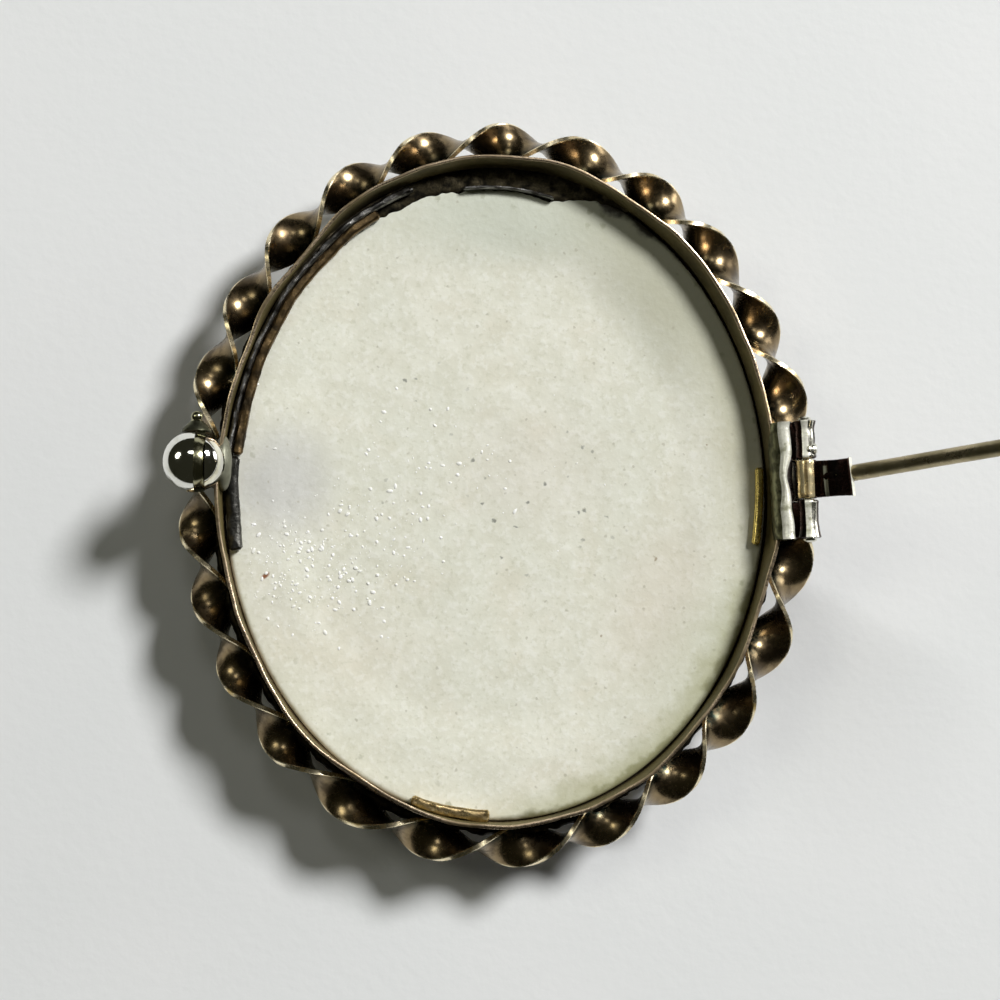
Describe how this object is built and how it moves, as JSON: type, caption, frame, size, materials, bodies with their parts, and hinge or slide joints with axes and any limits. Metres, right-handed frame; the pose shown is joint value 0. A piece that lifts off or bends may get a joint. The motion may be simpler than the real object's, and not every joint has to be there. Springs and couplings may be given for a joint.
{
  "type": "porcelain portrait brooch",
  "caption": "Oval porcelain portrait plaque in a bezel with a twisted strip border, with a hinged pin stem and a ball catch on the back, lying face down.",
  "frame": {"origin": "the crown of the domed front, on which the brooch rests face down", "axes": "+Z out of the back, +Y the portrait's top, +X towards the hinge, with the opened pin stem pointing that way"},
  "size_m": [0.0666, 0.0444, 0.0331],
  "materials": {
    "gilt_bronze": "aged gilding over bronze, worn and darkened in the hollows",
    "porcelain": "off-white bisque-like back with specks and stains, glazed and painted front",
    "dark_metal": "tarnished, dull",
    "nickel": "polished, slightly yellowed plating",
    "stem_metal": "drawn wire, olive-tan tarnish"
  },
  "bodies": {
    "brooch": {"bezel_frame": "gilt_bronze", "porcelain_plaque": "porcelain", "retaining_clip_top": "dark_metal", "retaining_clip_right": "gilt_bronze", "retaining_clip_bottom": "gilt_bronze", "retaining_clip_left": "dark_metal", "retaining_wire": "dark_metal", "hinge_rivet": "nickel"},
    "pin": {"pin_stem": "stem_metal"},
    "lever": {"catch_lever": "nickel"}
  },
  "joints": [
    {"name": "pin_hinge", "type": "hinge", "parent": "brooch", "child": "pin", "pos_m": [0.01806, 0.0006, 0.00775], "axis": [0.0419, -0.9991, 0], "range_deg": [-42, 139.2]},
    {"name": "catch_turn", "type": "hinge", "parent": "brooch", "child": "lever", "pos_m": [-0.0178, 0.0015, 0.0077], "axis": [0.9995, -0.0251, 0.0209], "range_deg": [0, 160]}
  ]
}
